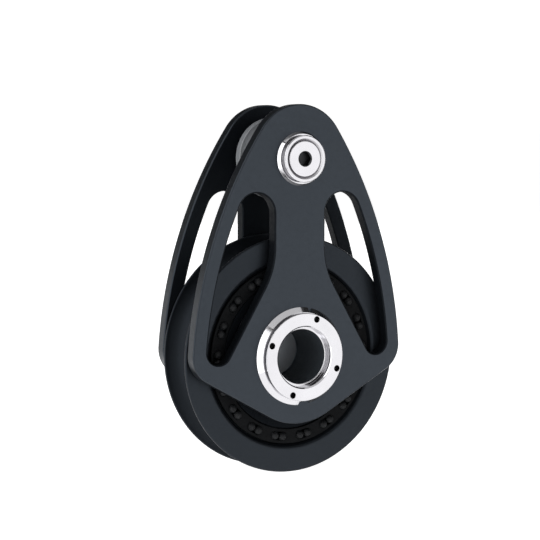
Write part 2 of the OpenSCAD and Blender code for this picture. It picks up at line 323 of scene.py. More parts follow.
def rounded(points):
    """Turns a closed profile of (r, y, rounding) corners into vertices and the edges that join them.

    Each edge is (i, j, normal at i, normal at j), with the normals pointing out of the profile.
    """
    corners = [Vector((p[0], p[1])) for p in points]
    radii = [p[2] if len(p) > 2 else 0 for p in points]
    count = len(corners)
    area = sum(a.x * b.y - b.x * a.y for a, b in zip(corners, corners[1:] + corners[:1]))
    turn_sign = 1 if area > 0 else -1
    made = []
    for i in range(count):
        here, before, after = corners[i], corners[i - 1], corners[(i + 1) % count]
        d_in, d_out = (here - before).normalized(), (after - here).normalized()
        n_in = turn_sign * Vector((d_in.y, -d_in.x))
        n_out = turn_sign * Vector((d_out.y, -d_out.x))
        if radii[i] <= 0:
            made.append((here, n_in, n_out))
            continue
        bend = math.acos(max(-1.0, min(1.0, d_in.dot(d_out))))
        inset = radii[i] * math.tan(bend / 2)
        side = 1 if (d_in.x * d_out.y - d_in.y * d_out.x) * turn_sign > 0 else -1
        centre = here - d_in * inset - side * n_in * radii[i]
        start = math.atan2(n_in.y, n_in.x)
        stop = math.atan2(n_out.y, n_out.x)
        if stop - start > math.pi:
            stop -= 2 * math.pi
        if stop - start < -math.pi:
            stop += 2 * math.pi
        for k in range(CORNER_STEPS + 1):
            angle = start + (stop - start) * k / CORNER_STEPS
            normal = Vector((math.cos(angle), math.sin(angle)))
            made.append((centre + side * radii[i] * normal, normal, normal))
    nexts = made[1:] + made[:1]
    joins = [(i, (i + 1) % len(made), made[i][2], nexts[i][1]) for i in range(len(made))]
    return [m[0] for m in made], joins


def arc_corners(centre, radius, start, stop, count):
    """Corner points along an arc of a profile, without rounding."""
    angles = [start + (stop - start) * i / count for i in range(count + 1)]
    return [tuple(centre + radius * polar(angle)) for angle in angles]


def flipped(profile, side):
    """A profile for the rear (side 1) or its mirror image for the front (side -1)."""
    return [(p[0], side * p[1]) + tuple(p[2:]) for p in profile]


def lathe(shell, profile, height=0.0, count=192, skip=(), slot_of=None):
    """Revolves a rounded profile about the line x = 0, z = height. Returns its points and their rings.

    skip holds planes: a flat ring at such a y is left open, for a cap with holes in it.
    slot_of gives the slot of the surface between two of the profile's points.
    """
    points, joins = rounded(profile)
    spokes = [polar(360 * i / count) for i in range(count)]
    rings = [[shell.vert((p.x * s.x, p.y, height + p.x * s.y)) for s in spokes] for p in points]
    for i, j, n_i, n_j in joins:
        flat = abs(points[i].y - points[j].y) < TOUCH
        if flat and any(abs(points[i].y - y) < TOUCH for y in skip):
            continue
        slot = slot_of(points[i], points[j]) if slot_of else 0
        shell.strip(rings[i], rings[j], [Vector((s.x * n_i.x, n_i.y, s.y * n_i.x)) for s in spokes],
                    [Vector((s.x * n_j.x, n_j.y, s.y * n_j.x)) for s in spokes], slot)
    return points, rings


def rings_at(points, rings, y):
    """A lathe's rings in one plane, from the innermost outwards. A point on the axis isn't one."""
    found = sorted((p.x, i) for i, p in enumerate(points) if abs(p.y - y) < TOUCH and p.x > TOUCH)
    return [rings[i] for _, i in found]


def blind_hole(shell, outline, face, depth, side, rounding, tip, slot):
    """Wall and drilled bottom of a hole sunk into a plane at y = face. Returns the ring in the plane."""
    rings, normals = [], []
    for i in range(MOUTH_STEPS + 1):
        turn = math.radians(90 * i / MOUTH_STEPS)
        inset = rounding * (1 - math.sin(turn))
        y = face - side * rounding * (1 - math.cos(turn))
        rings.append([shell.vert((p.x - n.x * inset, y, p.y - n.y * inset)) for p, n in outline])
        normals.append([Vector((n.x * math.sin(turn), side * math.cos(turn), n.y * math.sin(turn)))
                        for _, n in outline])
    rings.append([shell.vert((p.x, face - side * depth, p.y)) for p, _ in outline])
    normals.append(normals[-1])
    for i in range(len(rings) - 1):
        shell.strip(rings[i], rings[i + 1], normals[i], normals[i + 1], slot if i >= MOUTH_STEPS else 0)
    centre = sum((p for p, _ in outline), Vector((0, 0))) / len(outline)
    bottom = shell.vert((centre.x, face - side * (depth + tip), centre.y))
    for i in range(len(outline)):
        j = (i + 1) % len(outline)
        shell.face([rings[-1][i], rings[-1][j], bottom], [Vector((0, side, 0))] * 3, slot)
    return rings[0]


# ---------------------------------------------------------------- material building
# Noises, as (scale in features per metre, detail): of the colour, of the gloss and of the surface
DYE_PATCHES, ETCH_HAZE, ETCH_GRAIN, TURNING_MARKS = (60, 4), (900, 2), (5200, 2), (2600, 2)
STEEL_SMEARS, STEEL_HAZE, STEEL_MARKS = (140, 3), (420, 3), (3400, 2)
PLASTIC_BLOOM, PLASTIC_HAZE, PLASTIC_GRAIN = (300, 3), (700, 2), (3000, 2)
STAGE_PATCHES = (8, 2)

# How far the roughness wanders below and above its stated value
ETCH_SPREAD, PLASTIC_SPREAD = (0.05, 0.06), (0.06, 0.08)
POLISHED_SPREAD, GROUND_SPREAD = (0.02, 0.02), (0.05, 0.05)

# Heights of the grain and of the marks, in metres
ETCH_DEPTH, TURNED_DEPTH, PLASTIC_DEPTH = 12e-6, 10e-6, 10e-6
POLISHED_DEPTH, GROUND_DEPTH = 0.5e-6, 4e-6

# The darker share of a colour that varies, a noise's own roughness, and the part of its range in use
SMEAR_SHADE, STAGE_SHADE = 0.93, 0.985
NOISE_ROUGHNESS, NOISE_LOW, NOISE_HIGH = 0.55, 0.3, 0.7

# Colours of the gloss on anodising, black and clear
COOL_TINT, NO_TINT = (0.72, 0.84, 1.0), (1, 1, 1)


def new_material(name):
    """A node material, its tree and its shader."""
    material = bpy.data.materials.new(name)
    material.use_nodes = True
    tree = material.node_tree
    return material, tree, tree.nodes["Principled BSDF"]


def link(tree, source, target):
    """Joins two sockets."""
    tree.links.new(source, target)


def noise(tree, kind, vector=None):
    """One of the noises above, over the object's own coordinates or over another vector."""
    scale, detail = kind
    node = tree.nodes.new("ShaderNodeTexNoise")
    node.inputs["Scale"].default_value = scale
    node.inputs["Detail"].default_value = detail
    node.inputs["Roughness"].default_value = NOISE_ROUGHNESS
    if vector is None:
        vector = tree.nodes.new("ShaderNodeTexCoord").outputs["Object"]
    link(tree, vector, node.inputs["Vector"])
    return node.outputs["Fac"]


def remap(tree, source, low, high):
    """Stretches the part of a noise's range that is in use to one from low to high."""
    node = tree.nodes.new("ShaderNodeMapRange")
    node.inputs["To Min"].default_value = low
    node.inputs["To Max"].default_value = high
    node.inputs["From Min"].default_value = NOISE_LOW
    node.inputs["From Max"].default_value = NOISE_HIGH
    link(tree, source, node.inputs["Value"])
    return node.outputs["Result"]


def paint(tree, shader, source, low, high):
    """Lets the base colour wander from one colour to another with a noise."""
    node = tree.nodes.new("ShaderNodeMix")
    node.data_type = "RGBA"
    node.inputs["A"].default_value = (*low, 1)
    node.inputs["B"].default_value = (*high, 1)
    link(tree, remap(tree, source, 0, 1), node.inputs["Factor"])
    link(tree, node.outputs["Result"], shader.inputs["Base Color"])


def haze(tree, shader, source, rough, spread):
    """Lets the roughness wander about its stated value with a noise."""
    below, above = spread
    link(tree, remap(tree, source, rough - below, rough + above), shader.inputs["Roughness"])


def bump(tree, shader, height, distance):
    """Shades the surface as if a noise raised it, by up to a distance in metres."""
    node = tree.nodes.new("ShaderNodeBump")
    node.inputs["Distance"].default_value = distance
    node.inputs["Strength"].default_value = 1.0
    link(tree, height, node.inputs["Height"])
    link(tree, node.outputs["Normal"], shader.inputs["Normal"])


def lathe_vector(tree, height):
    """A vector that is the same all the way round a lathe axis at z = height, for turning marks."""
    coords = tree.nodes.new("ShaderNodeTexCoord").outputs["Object"]
    shift = tree.nodes.new("ShaderNodeVectorMath")
    shift.operation = "SUBTRACT"
    shift.inputs[1].default_value = (0, 0, height)
    link(tree, coords, shift.inputs[0])
    split = tree.nodes.new("ShaderNodeSeparateXYZ")
    link(tree, shift.outputs["Vector"], split.inputs["Vector"])
    flat = tree.nodes.new("ShaderNodeCombineXYZ")
    link(tree, split.outputs["X"], flat.inputs["X"])
    link(tree, split.outputs["Z"], flat.inputs["Z"])
    length = tree.nodes.new("ShaderNodeVectorMath")
    length.operation = "LENGTH"
    link(tree, flat.outputs["Vector"], length.inputs[0])
    joined = tree.nodes.new("ShaderNodeCombineXYZ")
    link(tree, length.outputs["Value"], joined.inputs["X"])
    link(tree, split.outputs["Y"], joined.inputs["Y"])
    return joined.outputs["Vector"]


def anodised(name, low, high, rough, turned=None, tint=COOL_TINT, gloss=0.5):
    """Anodised aluminium, black or clear, with an etched grain and a dye that varies from low to high.

    turned is the height of a turned piece's lathe axis. Such a piece has turning marks, not the grain.
    """
    material, tree, shader = new_material(name)
    shader.inputs["Specular Tint"].default_value = (*tint, 1)
    shader.inputs["Specular IOR Level"].default_value = gloss
    paint(tree, shader, noise(tree, DYE_PATCHES), low, high)
    haze(tree, shader, noise(tree, ETCH_HAZE), rough, ETCH_SPREAD)
    if turned is None:
        bump(tree, shader, noise(tree, ETCH_GRAIN), ETCH_DEPTH)
    else:
        bump(tree, shader, noise(tree, TURNING_MARKS, lathe_vector(tree, turned * MM)), TURNED_DEPTH)
    return material


def steel(name, colour, rough, turned, ground=False):
    """Stainless steel, polished or ground, with faint marks round the lathe axis at z = turned."""
    depth, spread = (GROUND_DEPTH, GROUND_SPREAD) if ground else (POLISHED_DEPTH, POLISHED_SPREAD)
    material, tree, shader = new_material(name)
    shader.inputs["Metallic"].default_value = 1.0
    smeared = [c * SMEAR_SHADE for c in colour]
    paint(tree, shader, noise(tree, STEEL_SMEARS), smeared, colour)
    haze(tree, shader, noise(tree, STEEL_HAZE), rough, spread)
    bump(tree, shader, noise(tree, STEEL_MARKS, lathe_vector(tree, turned * MM)), depth)
    return material


def plastic(name, low, high, rough, gloss=0.5):
    """Moulded or turned engineering plastic with a slight bloom."""
    material, tree, shader = new_material(name)
    shader.inputs["Specular IOR Level"].default_value = gloss
    paint(tree, shader, noise(tree, PLASTIC_BLOOM), low, high)
    haze(tree, shader, noise(tree, PLASTIC_HAZE), rough, PLASTIC_SPREAD)
    bump(tree, shader, noise(tree, PLASTIC_GRAIN), PLASTIC_DEPTH)
    return material


# ---------------------------------------------------------------- materials
# Black anodising: the plates' outside and edges and the sheave's rim, then darker, duller copies that are
# painted shade on the plates' inside and the sheave's groove and web
PLATE_BLACK = anodised(
    "plate_black", (0.0030, 0.0036, 0.0046), (0.0042, 0.0050, 0.0062), rough=0.38)
PLATE_EDGE = anodised(
    "plate_edge", (0.0030, 0.0036, 0.0046), (0.0040, 0.0048, 0.0058), rough=0.34, gloss=0.45)
# Painted shade: the plates' anodising made darker and duller for their inside faces, cutouts and bores
PLATE_PAINTED_SHADE = anodised(
    "plate_painted_shade", (0.0018, 0.0023, 0.0030), (0.0026, 0.0032, 0.0040), rough=0.55, gloss=0.12)
SHEAVE_BLACK = anodised(
    "sheave_black", (0.0020, 0.0025, 0.0032), (0.0030, 0.0036, 0.0044), rough=0.42, turned=0, gloss=0.3)
# Painted shade: the sheave's anodising made darker and duller in its groove and on its web
SHEAVE_GROOVE_SHADE = anodised(
    "sheave_groove_painted_shade", (0.0016, 0.0020, 0.0026), (0.0024, 0.0029, 0.0036), rough=0.45, turned=0, gloss=0.16)
SHEAVE_WEB_SHADE = anodised(
    "sheave_web_painted_shade", (0.0014, 0.0018, 0.0024), (0.0020, 0.0025, 0.0032), rough=0.6, turned=0, gloss=0.08)

# The hub and the head's fittings: polished steel outside, with a satin seat and neck and a duller web in
# the axle; the dark colours of the axle's bore and of the holes and sockets are painted shade
POLISHED_HUB = steel("polished_hub", (0.54, 0.535, 0.555), rough=0.11, turned=0)
POLISHED_HEAD = steel("polished_head", (0.54, 0.535, 0.555), rough=0.11, turned=POST_Z)
SATIN_HEAD = steel("satin_head", (0.43, 0.425, 0.44), rough=0.36, turned=POST_Z)
# Painted shade: near-black steel for the walls and bottoms of the spanner holes and hexagon sockets
HOLE_PAINTED_SHADE = steel("hole_painted_shade", (0.03, 0.031, 0.033), rough=0.4, turned=0, ground=True)
# Painted shade: a dark colour for the inside of the steel axle's bore
BORE_PAINTED_SHADE = anodised("bore_painted_shade", (0.022, 0.027, 0.031), (0.031, 0.036, 0.041), rough=0.42, turned=0)
WEB_STEEL = steel("web_steel", (0.26, 0.275, 0.295), rough=0.55, turned=0, ground=True)
GROUND_STEEL = steel("ground_steel", (0.55, 0.56, 0.57), rough=0.28, turned=0, ground=True)

# The clear anodised spool, and the plastics of washers, retainers, balls and rollers; the balls' dark
# grey is partly their own and partly painted shade
SPOOL_ALUMINIUM = anodised(
    "spool_aluminium", (0.135, 0.142, 0.150), (0.168, 0.176, 0.187), rough=0.42, turned=POST_Z,
    tint=NO_TINT)
ACETAL_BLACK = plastic(
    "acetal_black", (0.0014, 0.0017, 0.0022), (0.0024, 0.0028, 0.0034), rough=0.62, gloss=0.08)
# Partly painted shade: the balls' dark grey plastic made darker still, almost black
ACETAL_GREY_SHADED = plastic(
    "acetal_grey_painted_shade", (0.007, 0.0075, 0.0085), (0.011, 0.0115, 0.0125), rough=0.5, gloss=0.12)
ROLLER_RESIN = plastic("roller_resin", (0.36, 0.25, 0.10), (0.44, 0.31, 0.14), rough=0.38)


# ---------------------------------------------------------------- side plates
def plate_outlines():
    """The outside, the two cutouts and the two bores of a side plate."""
    hub, post, head = Vector((0, 0)), Vector((0, POST_Z)), Vector((0, HEAD_ARC_Z))

    # The side arc's circle surrounds the head's and the corner's, and touches both
    span = (CORNER - head).length
    to_head, to_corner = SIDE_ARC_R - HEAD_ARC_R, SIDE_ARC_R - CORNER_R
    along = (to_head ** 2 - to_corner ** 2 + span ** 2) / (2 * span)
    line = (CORNER - head).normalized()
    side = head + along * line - math.sqrt(to_head ** 2 - along ** 2) * Vector((-line.y, line.x))
    side_start, side_stop = direction(side, head), direction(side, CORNER)
    side_step = 0.8

    # A straight edge facing the belly angle touches the corner's arc and the belly's, round the hub
    corner_angle = math.degrees(math.atan2(CORNER.y, CORNER.x))
    belly = corner_angle - math.degrees(math.acos((BELLY_R - CORNER_R) / CORNER.length))
    half = (arc(head, HEAD_ARC_R, 90, side_start, step=3)
            + arc(side, SIDE_ARC_R, side_start, side_stop, step=side_step)[1:]
            + arc(CORNER, CORNER_R, side_stop, belly)[1:]
            + arc(hub, BELLY_R, belly, -90, step=3))
    outside = half + mirrored(half)[1:-1]

    # A cutout lies between the stem and a rim of even width, and its flank flares away from the stem
    cut_r = SIDE_ARC_R - RIM_W
    top_x = STEM_HALF + CUT_TOP_R
    top = Vector((top_x, side.y + math.sqrt((cut_r - CUT_TOP_R) ** 2 - (top_x - side.x) ** 2)))
    low = Vector((side.x + math.sqrt((cut_r - CUT_LOW_R) ** 2 - (CUT_LOW_Z - side.y) ** 2), CUT_LOW_Z))
    flank = -polar(FLARE_ANGLE)
    flare_x = STEM_HALF + FLARE_R
    flare_z = (flank.dot(low + CUT_LOW_R * flank) - FLARE_R - flank.x * flare_x) / flank.y
    to_top, to_low = direction(side, top), direction(side, low)
    cutout = (arc(top, CUT_TOP_R, to_top, 180, step=5, outward=-1)
              + arc(Vector((flare_x, flare_z)), FLARE_R, 180, 180 + FLARE_ANGLE, step=2, outward=-1)
              + arc(low, CUT_LOW_R, 180 + FLARE_ANGLE, 360 + to_low, step=6, outward=-1)
              + arc(side, cut_r, to_low, to_top, step=side_step, outward=-1)[1:-1])
    return [outside, cutout, mirrored(cutout), ring_outline(hub, PLATE_BORE_R, count=96, outward=-1),
            ring_outline(post, PLATE_POST_R, count=64, outward=-1)]


def side_plate(name, side):
    """Satin outside and a softer edge; inside the cutouts and bores and towards the sheave a darker,
    duller copy of the anodising is painted shade.
    """
    # The third slot is painted shade: a darker, duller copy of the outside's anodising
    satin, edge, painted_shade = 0, 1, 2
    shell = Shell()
    low, high = sorted((side * INNER_FACE, side * OUTER_FACE))
    low_slot, high_slot = (satin, painted_shade) if side < 0 else (painted_shade, satin)
    walls = [edge, painted_shade, painted_shade, painted_shade, painted_shade]
    slab(shell, plate_outlines(), low, high, PLATE_ROUND, low_slot, high_slot, walls)
    shell.build(name, "block_frame", [PLATE_BLACK, PLATE_EDGE, PLATE_PAINTED_SHADE])


# ---------------------------------------------------------------- sheave
def sheave():
    """Grooved wheel with a smooth rim, and a recess in its web for the side-load balls."""
    centre = Vector((SHEAVE_R - GROOVE_DEPTH + GROOVE_R, 0))
    open_angle = math.degrees(math.acos((SHEAVE_R - centre.x) / GROOVE_R))
    groove = arc_corners(centre, GROOVE_R, open_angle, 360 - open_angle, count=48)
    half = [
        (SHEAVE_BORE_R, HUB_FACE, EDGE), (TRACK_INNER_R, HUB_FACE, TRACK_EDGE),
        (TRACK_INNER_R, TRACK_FLOOR, FINE_EDGE), (TRACK_OUTER_R, TRACK_FLOOR, FINE_EDGE),
        (TRACK_OUTER_R, TRACK_WALL, TRACK_MOUTH), (RIM_FACE_R, RIM_FACE, RIM_SHOULDER),
        (SHEAVE_R, RIM_FACE, RIM_EDGE), (SHEAVE_R, groove[0][1], EDGE),
    ]
    profile = half + [(r, y) for r, y in groove[1:-1]] + flipped(half[::-1], -1)
    lip = groove[1][1]
    web_r, bore_r = RIM_FACE_R - WEB_MARGIN, SHEAVE_BORE_R + BORE_MARGIN
    # The web and the groove get the painted-shade copies of the rim's anodising
    rim_slot, web_slot, groove_slot = 0, 1, 2

    def finish(a, b):
        far_y, far_r, near_r = max(abs(a.y), abs(b.y)), max(a.x, b.x), min(a.x, b.x)
        if far_r < web_r and far_y > lip - NEAR:
            return web_slot
        return groove_slot if far_y < lip + NEAR and near_r > bore_r else rim_slot

    shell = Shell()
    lathe(shell, profile, count=256, slot_of=finish)
    shell.build("sheave", "sheave_wheel", [SHEAVE_BLACK, SHEAVE_WEB_SHADE, SHEAVE_GROOVE_SHADE])


# ---------------------------------------------------------------- hub
def hub_axle():
    """Hollow axle with a shoulder between the plates, and a web that closes its bore."""
    profile = [
        (0, WEB_FRONT), (BORE_R, WEB_FRONT, EDGE), (BORE_R, -AXLE_END, SOFT_EDGE),
        (THREAD_R, -AXLE_END, FINE_EDGE), (THREAD_R, -INNER_FACE), (SHOULDER_R, -INNER_FACE, EDGE),
        (SHOULDER_R, INNER_FACE, EDGE), (THREAD_R, INNER_FACE), (THREAD_R, AXLE_END, FINE_EDGE),
        (BORE_R, AXLE_END, SOFT_EDGE), (BORE_R, WEB_REAR, EDGE), (0, WEB_REAR),
    ]
    web_r = BORE_R - AXLE_WEB_MARGIN
    # The bore's slot is painted shade, darker than the steel it lines
    outside_slot, bore_slot, web_slot = 0, 1, 2

    def finish(a, b):
        if max(a.x, b.x) > BORE_R + NEAR:
            return outside_slot
        return bore_slot if min(a.x, b.x) > web_r else web_slot

    shell = Shell()
    lathe(shell, profile, count=128, slot_of=finish)
    shell.build("hub_axle", "block_frame", [POLISHED_HUB, BORE_PAINTED_SHADE, WEB_STEEL])


def notched_circle(radius, inner_radius):
    """A circle with the flange washer's two notches cut into it: [(point, normal, spoke), ...].

    The spokes lead to the rings inside. Beside a notch they lean away, past the line of its wall.
    """
    outline = []
    first = NOTCHES[-1]
    for middle, width in (first,) + NOTCHES[:-1] + ((first[0] + 360, first[1]),):
        half = math.degrees(math.asin(width / 2 / radius))
        lean = math.degrees(math.asin(width / 2 / inner_radius)) + NOTCH_LEAN
        if outline:  # the stretch of circle from the notch before
            rim = arc(Vector((0, 0)), radius, turn, middle - half, step=3)
            spokes = [leaned] + [normal for _, normal in rim[1:-1]] + [polar(middle - lean)]
            outline += [(point, normal, spoke) for (point, normal), spoke in zip(rim, spokes)]
        if middle > 180:  # the first notch again, which is already there
            break
        turn, leaned = middle + half, polar(middle + lean)
        out, along = polar(middle), polar(middle + 90)
        across = [along * (width / 2 * share) for share in (-1, -0.5, 0, 0.5, 1)]
        floor = [out * (radius - NOTCH_DEPTH) + offset for offset in across]
        corners = [radius * polar(middle - half), radius * polar(turn)]
        outline += [(corners[0], along, polar(middle - lean)), (floor[0], along, floor[0].normalized())]
        outline += [(point, out, point.normalized()) for point in floor]
        outline += [(floor[-1], -along, floor[-1].normalized()), (corners[1], -along, leaned)]
    return outline


def hub_washer(name, side):
    """Flange washer with a sloping rim, cut by one narrow and one wide notch."""
    shell = Shell()
    outline = notched_circle(HUB_WASHER_R, PLATE_BORE_R)
    spokes = [spoke for _, _, spoke in outline]
    top_r = NUT_R + FLANGE_EDGE
    brim_y = OUTER_FACE + FLANGE_EDGE
    rise = HUB_WASHER_TOP - OUTER_FACE - FLANGE_EDGE
    run = HUB_WASHER_R - top_r
    slope = Vector((rise, run)).normalized()

    def normals(directions):
        """Directions on the rear washer, turned to this one's side."""
        return [Vector((x, side * y, z)) for x, y, z in directions]

    def verts(points):
        """Points on the rear washer, moved to this one's side."""
        return [shell.vert((x, side * y, z)) for x, y, z in points]

    walls = normals([(n.x, 0, n.y) for _, n, _ in outline])
    tilted = normals([(s.x * slope.x, slope.y, s.y * slope.x) for s in spokes])
    inwards = normals([(-s.x, 0, -s.y) for s in spokes])
    up = normals([(0, 1, 0)] * len(outline))
    down = [-v for v in up]

    low = verts([(p.x, OUTER_FACE, p.y) for p, _, _ in outline])
    brim = verts([(p.x, brim_y + (HUB_WASHER_R - p.length) * rise / run, p.y) for p, _, _ in outline])
    top = verts([(s.x * top_r, HUB_WASHER_TOP, s.y * top_r) for s in spokes])
    bore_low, bore_top = (verts([(s.x * PLATE_BORE_R, y, s.y * PLATE_BORE_R) for s in spokes])
                          for y in (OUTER_FACE, HUB_WASHER_TOP))
    shell.strip(low, brim, walls, walls)
    shell.strip(brim, top, tilted, tilted)
    shell.strip(top, bore_top, up, up)
    shell.strip(bore_low, bore_top, inwards, inwards)
    shell.strip(low, bore_low, down, down)
    shell.build(name, "block_frame", [POLISHED_HUB])


def hub_nut(name, side):
    """Ring nut with a spigot in the plate's bore, a lip over the axle's end and four spanner holes."""
    spigot_end, thread_r = INNER_FACE + SEAT_GAP, THREAD_R + BORE_GAP
    profile = [
        (LIP_R, NUT_FACE - NUT_MOUTH, THIN_EDGE), (LIP_R + NUT_MOUTH, NUT_FACE, THIN_EDGE),
        (NUT_R, NUT_FACE, FINE_EDGE), (NUT_R, HUB_WASHER_TOP, KEEN_EDGE), (SPIGOT_R, HUB_WASHER_TOP),
        (SPIGOT_R, spigot_end, FINE_EDGE), (thread_r, spigot_end), (thread_r, AXLE_END),
        (LIP_R, AXLE_END, THIN_EDGE),
    ]
    face = side * NUT_FACE
    shell = Shell()
    points, rings = lathe(shell, flipped(profile, side), skip=[face])
    in_face = rings_at(points, rings, face)
    openings = [in_face[-1], in_face[0]]
    for i in range(4):
        centre = SPANNER_RING_R * polar(SPANNER_TURN + 90 * i)
        hole = ring_outline(centre, SPANNER_R, count=32, outward=-1)
        # Each spanner hole's wall and bottom take the painted-shade slot
        mouth = blind_hole(shell, hole, face, SPANNER_DEPTH, side, SPANNER_EDGE, SPANNER_TIP, slot=1)
        openings.append(mouth)
    shell.cap(openings, side)
    shell.build(name, "block_frame", [POLISHED_HUB, HOLE_PAINTED_SHADE])


# ---------------------------------------------------------------- side-load bearings
def pockets():
    """Angle, outward direction and sideways direction of each of a retainer's slots."""
    turns = [360 * (pocket + 0.5) / POCKETS for pocket in range(POCKETS)]
    return [(turn, polar(90 - turn), polar(-turn)) for turn in turns]


def ball(shell, centre):
    """One ball, as rows of quads between two poles on its Y axis."""
    rows, columns = 10, 20
    spokes = [polar(360 * j / columns) for j in range(columns)]
    poles = [shell.vert(centre + Vector((0, s * BALL_R, 0))) for s in (-1, 1)]
    rings, normals = [], []
    for i in range(1, rows):
        latitude = math.radians(180 * i / rows - 90)
        flat, up = math.cos(latitude), math.sin(latitude)
        normals.append([Vector((flat * s.x, up, flat * s.y)) for s in spokes])
        rings.append([shell.vert(centre + n * BALL_R) for n in normals[-1]])
    for i in range(len(rings) - 1):
        shell.strip(rings[i], rings[i + 1], normals[i], normals[i + 1])
    for pole, end, s in zip(poles, (0, -1), (-1, 1)):
        ring, around = rings[end], normals[end]
        for j in range(columns):
            k = (j + 1) % columns
            shell.face([ring[j], ring[k], pole], [around[j], around[k], Vector((0, s, 0))])


def thrust_balls(name, body, side):
    """A pair of balls in each of a retainer's slots."""
    shell = Shell()
    for _, out, along in pockets():
        for pair in (-1, 1):
            middle = out * BALL_TRACK_R + along * (pair * BALL_PAIR)
            ball(shell, Vector((middle.x, side * BALLS_Y, middle.y)))
    # The balls' near-black grey is partly painted shade
    shell.build(name, body, [ACETAL_GREY_SHADED])


def ball_retainer(name, body, side):
    """Black ring with a slot for each pair of balls."""
    hub = Vector((0, 0))
    outlines = [ring_outline(hub, RETAINER_R, count=192),
                ring_outline(hub, TRACK_INNER_R + RETAINER_GAP, count=192, outward=-1)]
    for turn, out, along in pockets():
        ends = [out * BALL_TRACK_R + along * (s * BALL_PAIR) for s in (1, -1)]
        outlines.append(arc(ends[0], SLOT_R, -turn - 90, -turn + 90, step=15, outward=-1)
                        + arc(ends[1], SLOT_R, -turn + 90, -turn + 270, step=15, outward=-1))
    shell = Shell()
    low, high = sorted((side * RETAINER_BASE, side * RETAINER_TOP))
    slab(shell, outlines, low, high, THIN_EDGE)
    shell.build(name, body, [ACETAL_BLACK])


# ---------------------------------------------------------------- head
def head_post():
    """Post between the plates with stepped ends, each drilled for a screw."""
    thread_end = POST_END - POST_THREAD_DEPTH
    profile = [
        (0, thread_end), (POST_THREAD_R, thread_end), (POST_THREAD_R, POST_END, EDGE),
        (POST_END_R, POST_END, FINE_EDGE), (POST_END_R, INNER_FACE), (POST_R, INNER_FACE, FINE_EDGE),
    ]
    shell = Shell()
    lathe(shell, profile + flipped(profile[::-1], -1), height=POST_Z, count=96)
    shell.build("head_post", "block_frame", [GROUND_STEEL])


def loop_spool():
    """Spool with a half-round groove for the lashing loop."""
    groove = arc_corners(Vector((SPOOL_R, 0)), SPOOL_GROOVE_R, 90, 270, count=32)
    half = [(SPOOL_BORE_R, SPOOL_HALF, EDGE), (SPOOL_R, SPOOL_HALF, SPOOL_EDGE),
            (SPOOL_R, groove[0][1], SPOOL_LIP)]
    profile = half + [(r, y) for r, y in groove[2:-2]] + flipped(half[::-1], -1)
    shell = Shell()
    lathe(shell, profile, height=POST_Z, count=160)
    shell.build("loop_spool", "spool_wheel", [SPOOL_ALUMINIUM])


def spool_washer(name, side):
    """Plain washer between the spool and a plate."""
    low, high, bore_r = SPOOL_WASHER_BASE, SPOOL_WASHER_TOP, POST_R + BORE_GAP
    profile = [(bore_r, low, KEEN_EDGE), (SPOOL_WASHER_R, low, EDGE),
               (SPOOL_WASHER_R, high, EDGE), (bore_r, high, KEEN_EDGE)]
    shell = Shell()
    lathe(shell, flipped(profile, side), height=POST_Z, count=96)
    shell.build(name, "block_frame", [ACETAL_BLACK])


def post_collar(name, side):
    """Collar with a sloping flange, a narrow neck and a satin countersink round the screw head."""
    seat = SCREW_TOP - SCREW_HEAD_T
    base_top = OUTER_FACE + COLLAR_BASE_T
    neck_top = base_top + NECK_T
    seat_r = SCREW_HEAD_R + SEAT_GAP
    countersunk = COLLAR_FACE - COLLAR_MOUTH_R + seat_r
    profile = [
        (POST_THREAD_R, OUTER_FACE), (COLLAR_BASE_R, OUTER_FACE, CRISP_EDGE),
        (COLLAR_BASE_R, OUTER_FACE + FLANGE_EDGE, CRISP_EDGE), (COLLAR_BASE_TOP_R, base_top, KEEN_EDGE),
        (NECK_R, base_top), (NECK_R, neck_top), (COLLAR_R, neck_top, THIN_EDGE),
        (COLLAR_R, COLLAR_FACE, SOFT_EDGE), (COLLAR_MOUTH_R, COLLAR_FACE, KEEN_EDGE),
        (seat_r, countersunk), (seat_r, seat), (POST_THREAD_R, seat),
    ]
    polished_slot, satin_slot = 0, 1

    def finish(a, b):
        far_r, low_y, high_y = max(a.x, b.x), min(abs(a.y), abs(b.y)), max(abs(a.y), abs(b.y))
        in_countersink = far_r < COLLAR_MOUTH_R + NEAR and low_y > countersunk - NEAR
        in_neck = far_r < NECK_R + NEAR and high_y < neck_top + NEAR
        return satin_slot if in_countersink or in_neck else polished_slot

    shell = Shell()
    lathe(shell, flipped(profile, side), height=POST_Z, count=160, slot_of=finish)
    shell.build(name, "block_frame", [POLISHED_HEAD, SATIN_HEAD])


def hexagon_hole(centre, across_flats, rounding):
    """Rim of a hexagonal hole with slightly rounded corners, anticlockwise."""
    corner_reach = (across_flats / 2 - rounding) / math.cos(math.radians(30))
    outline = []
    for i in range(6):
        corner = centre + corner_reach * polar(60 * i)
        outline += arc(corner, rounding, 60 * i - 30, 60 * i + 30, step=15, outward=-1)
    return outline


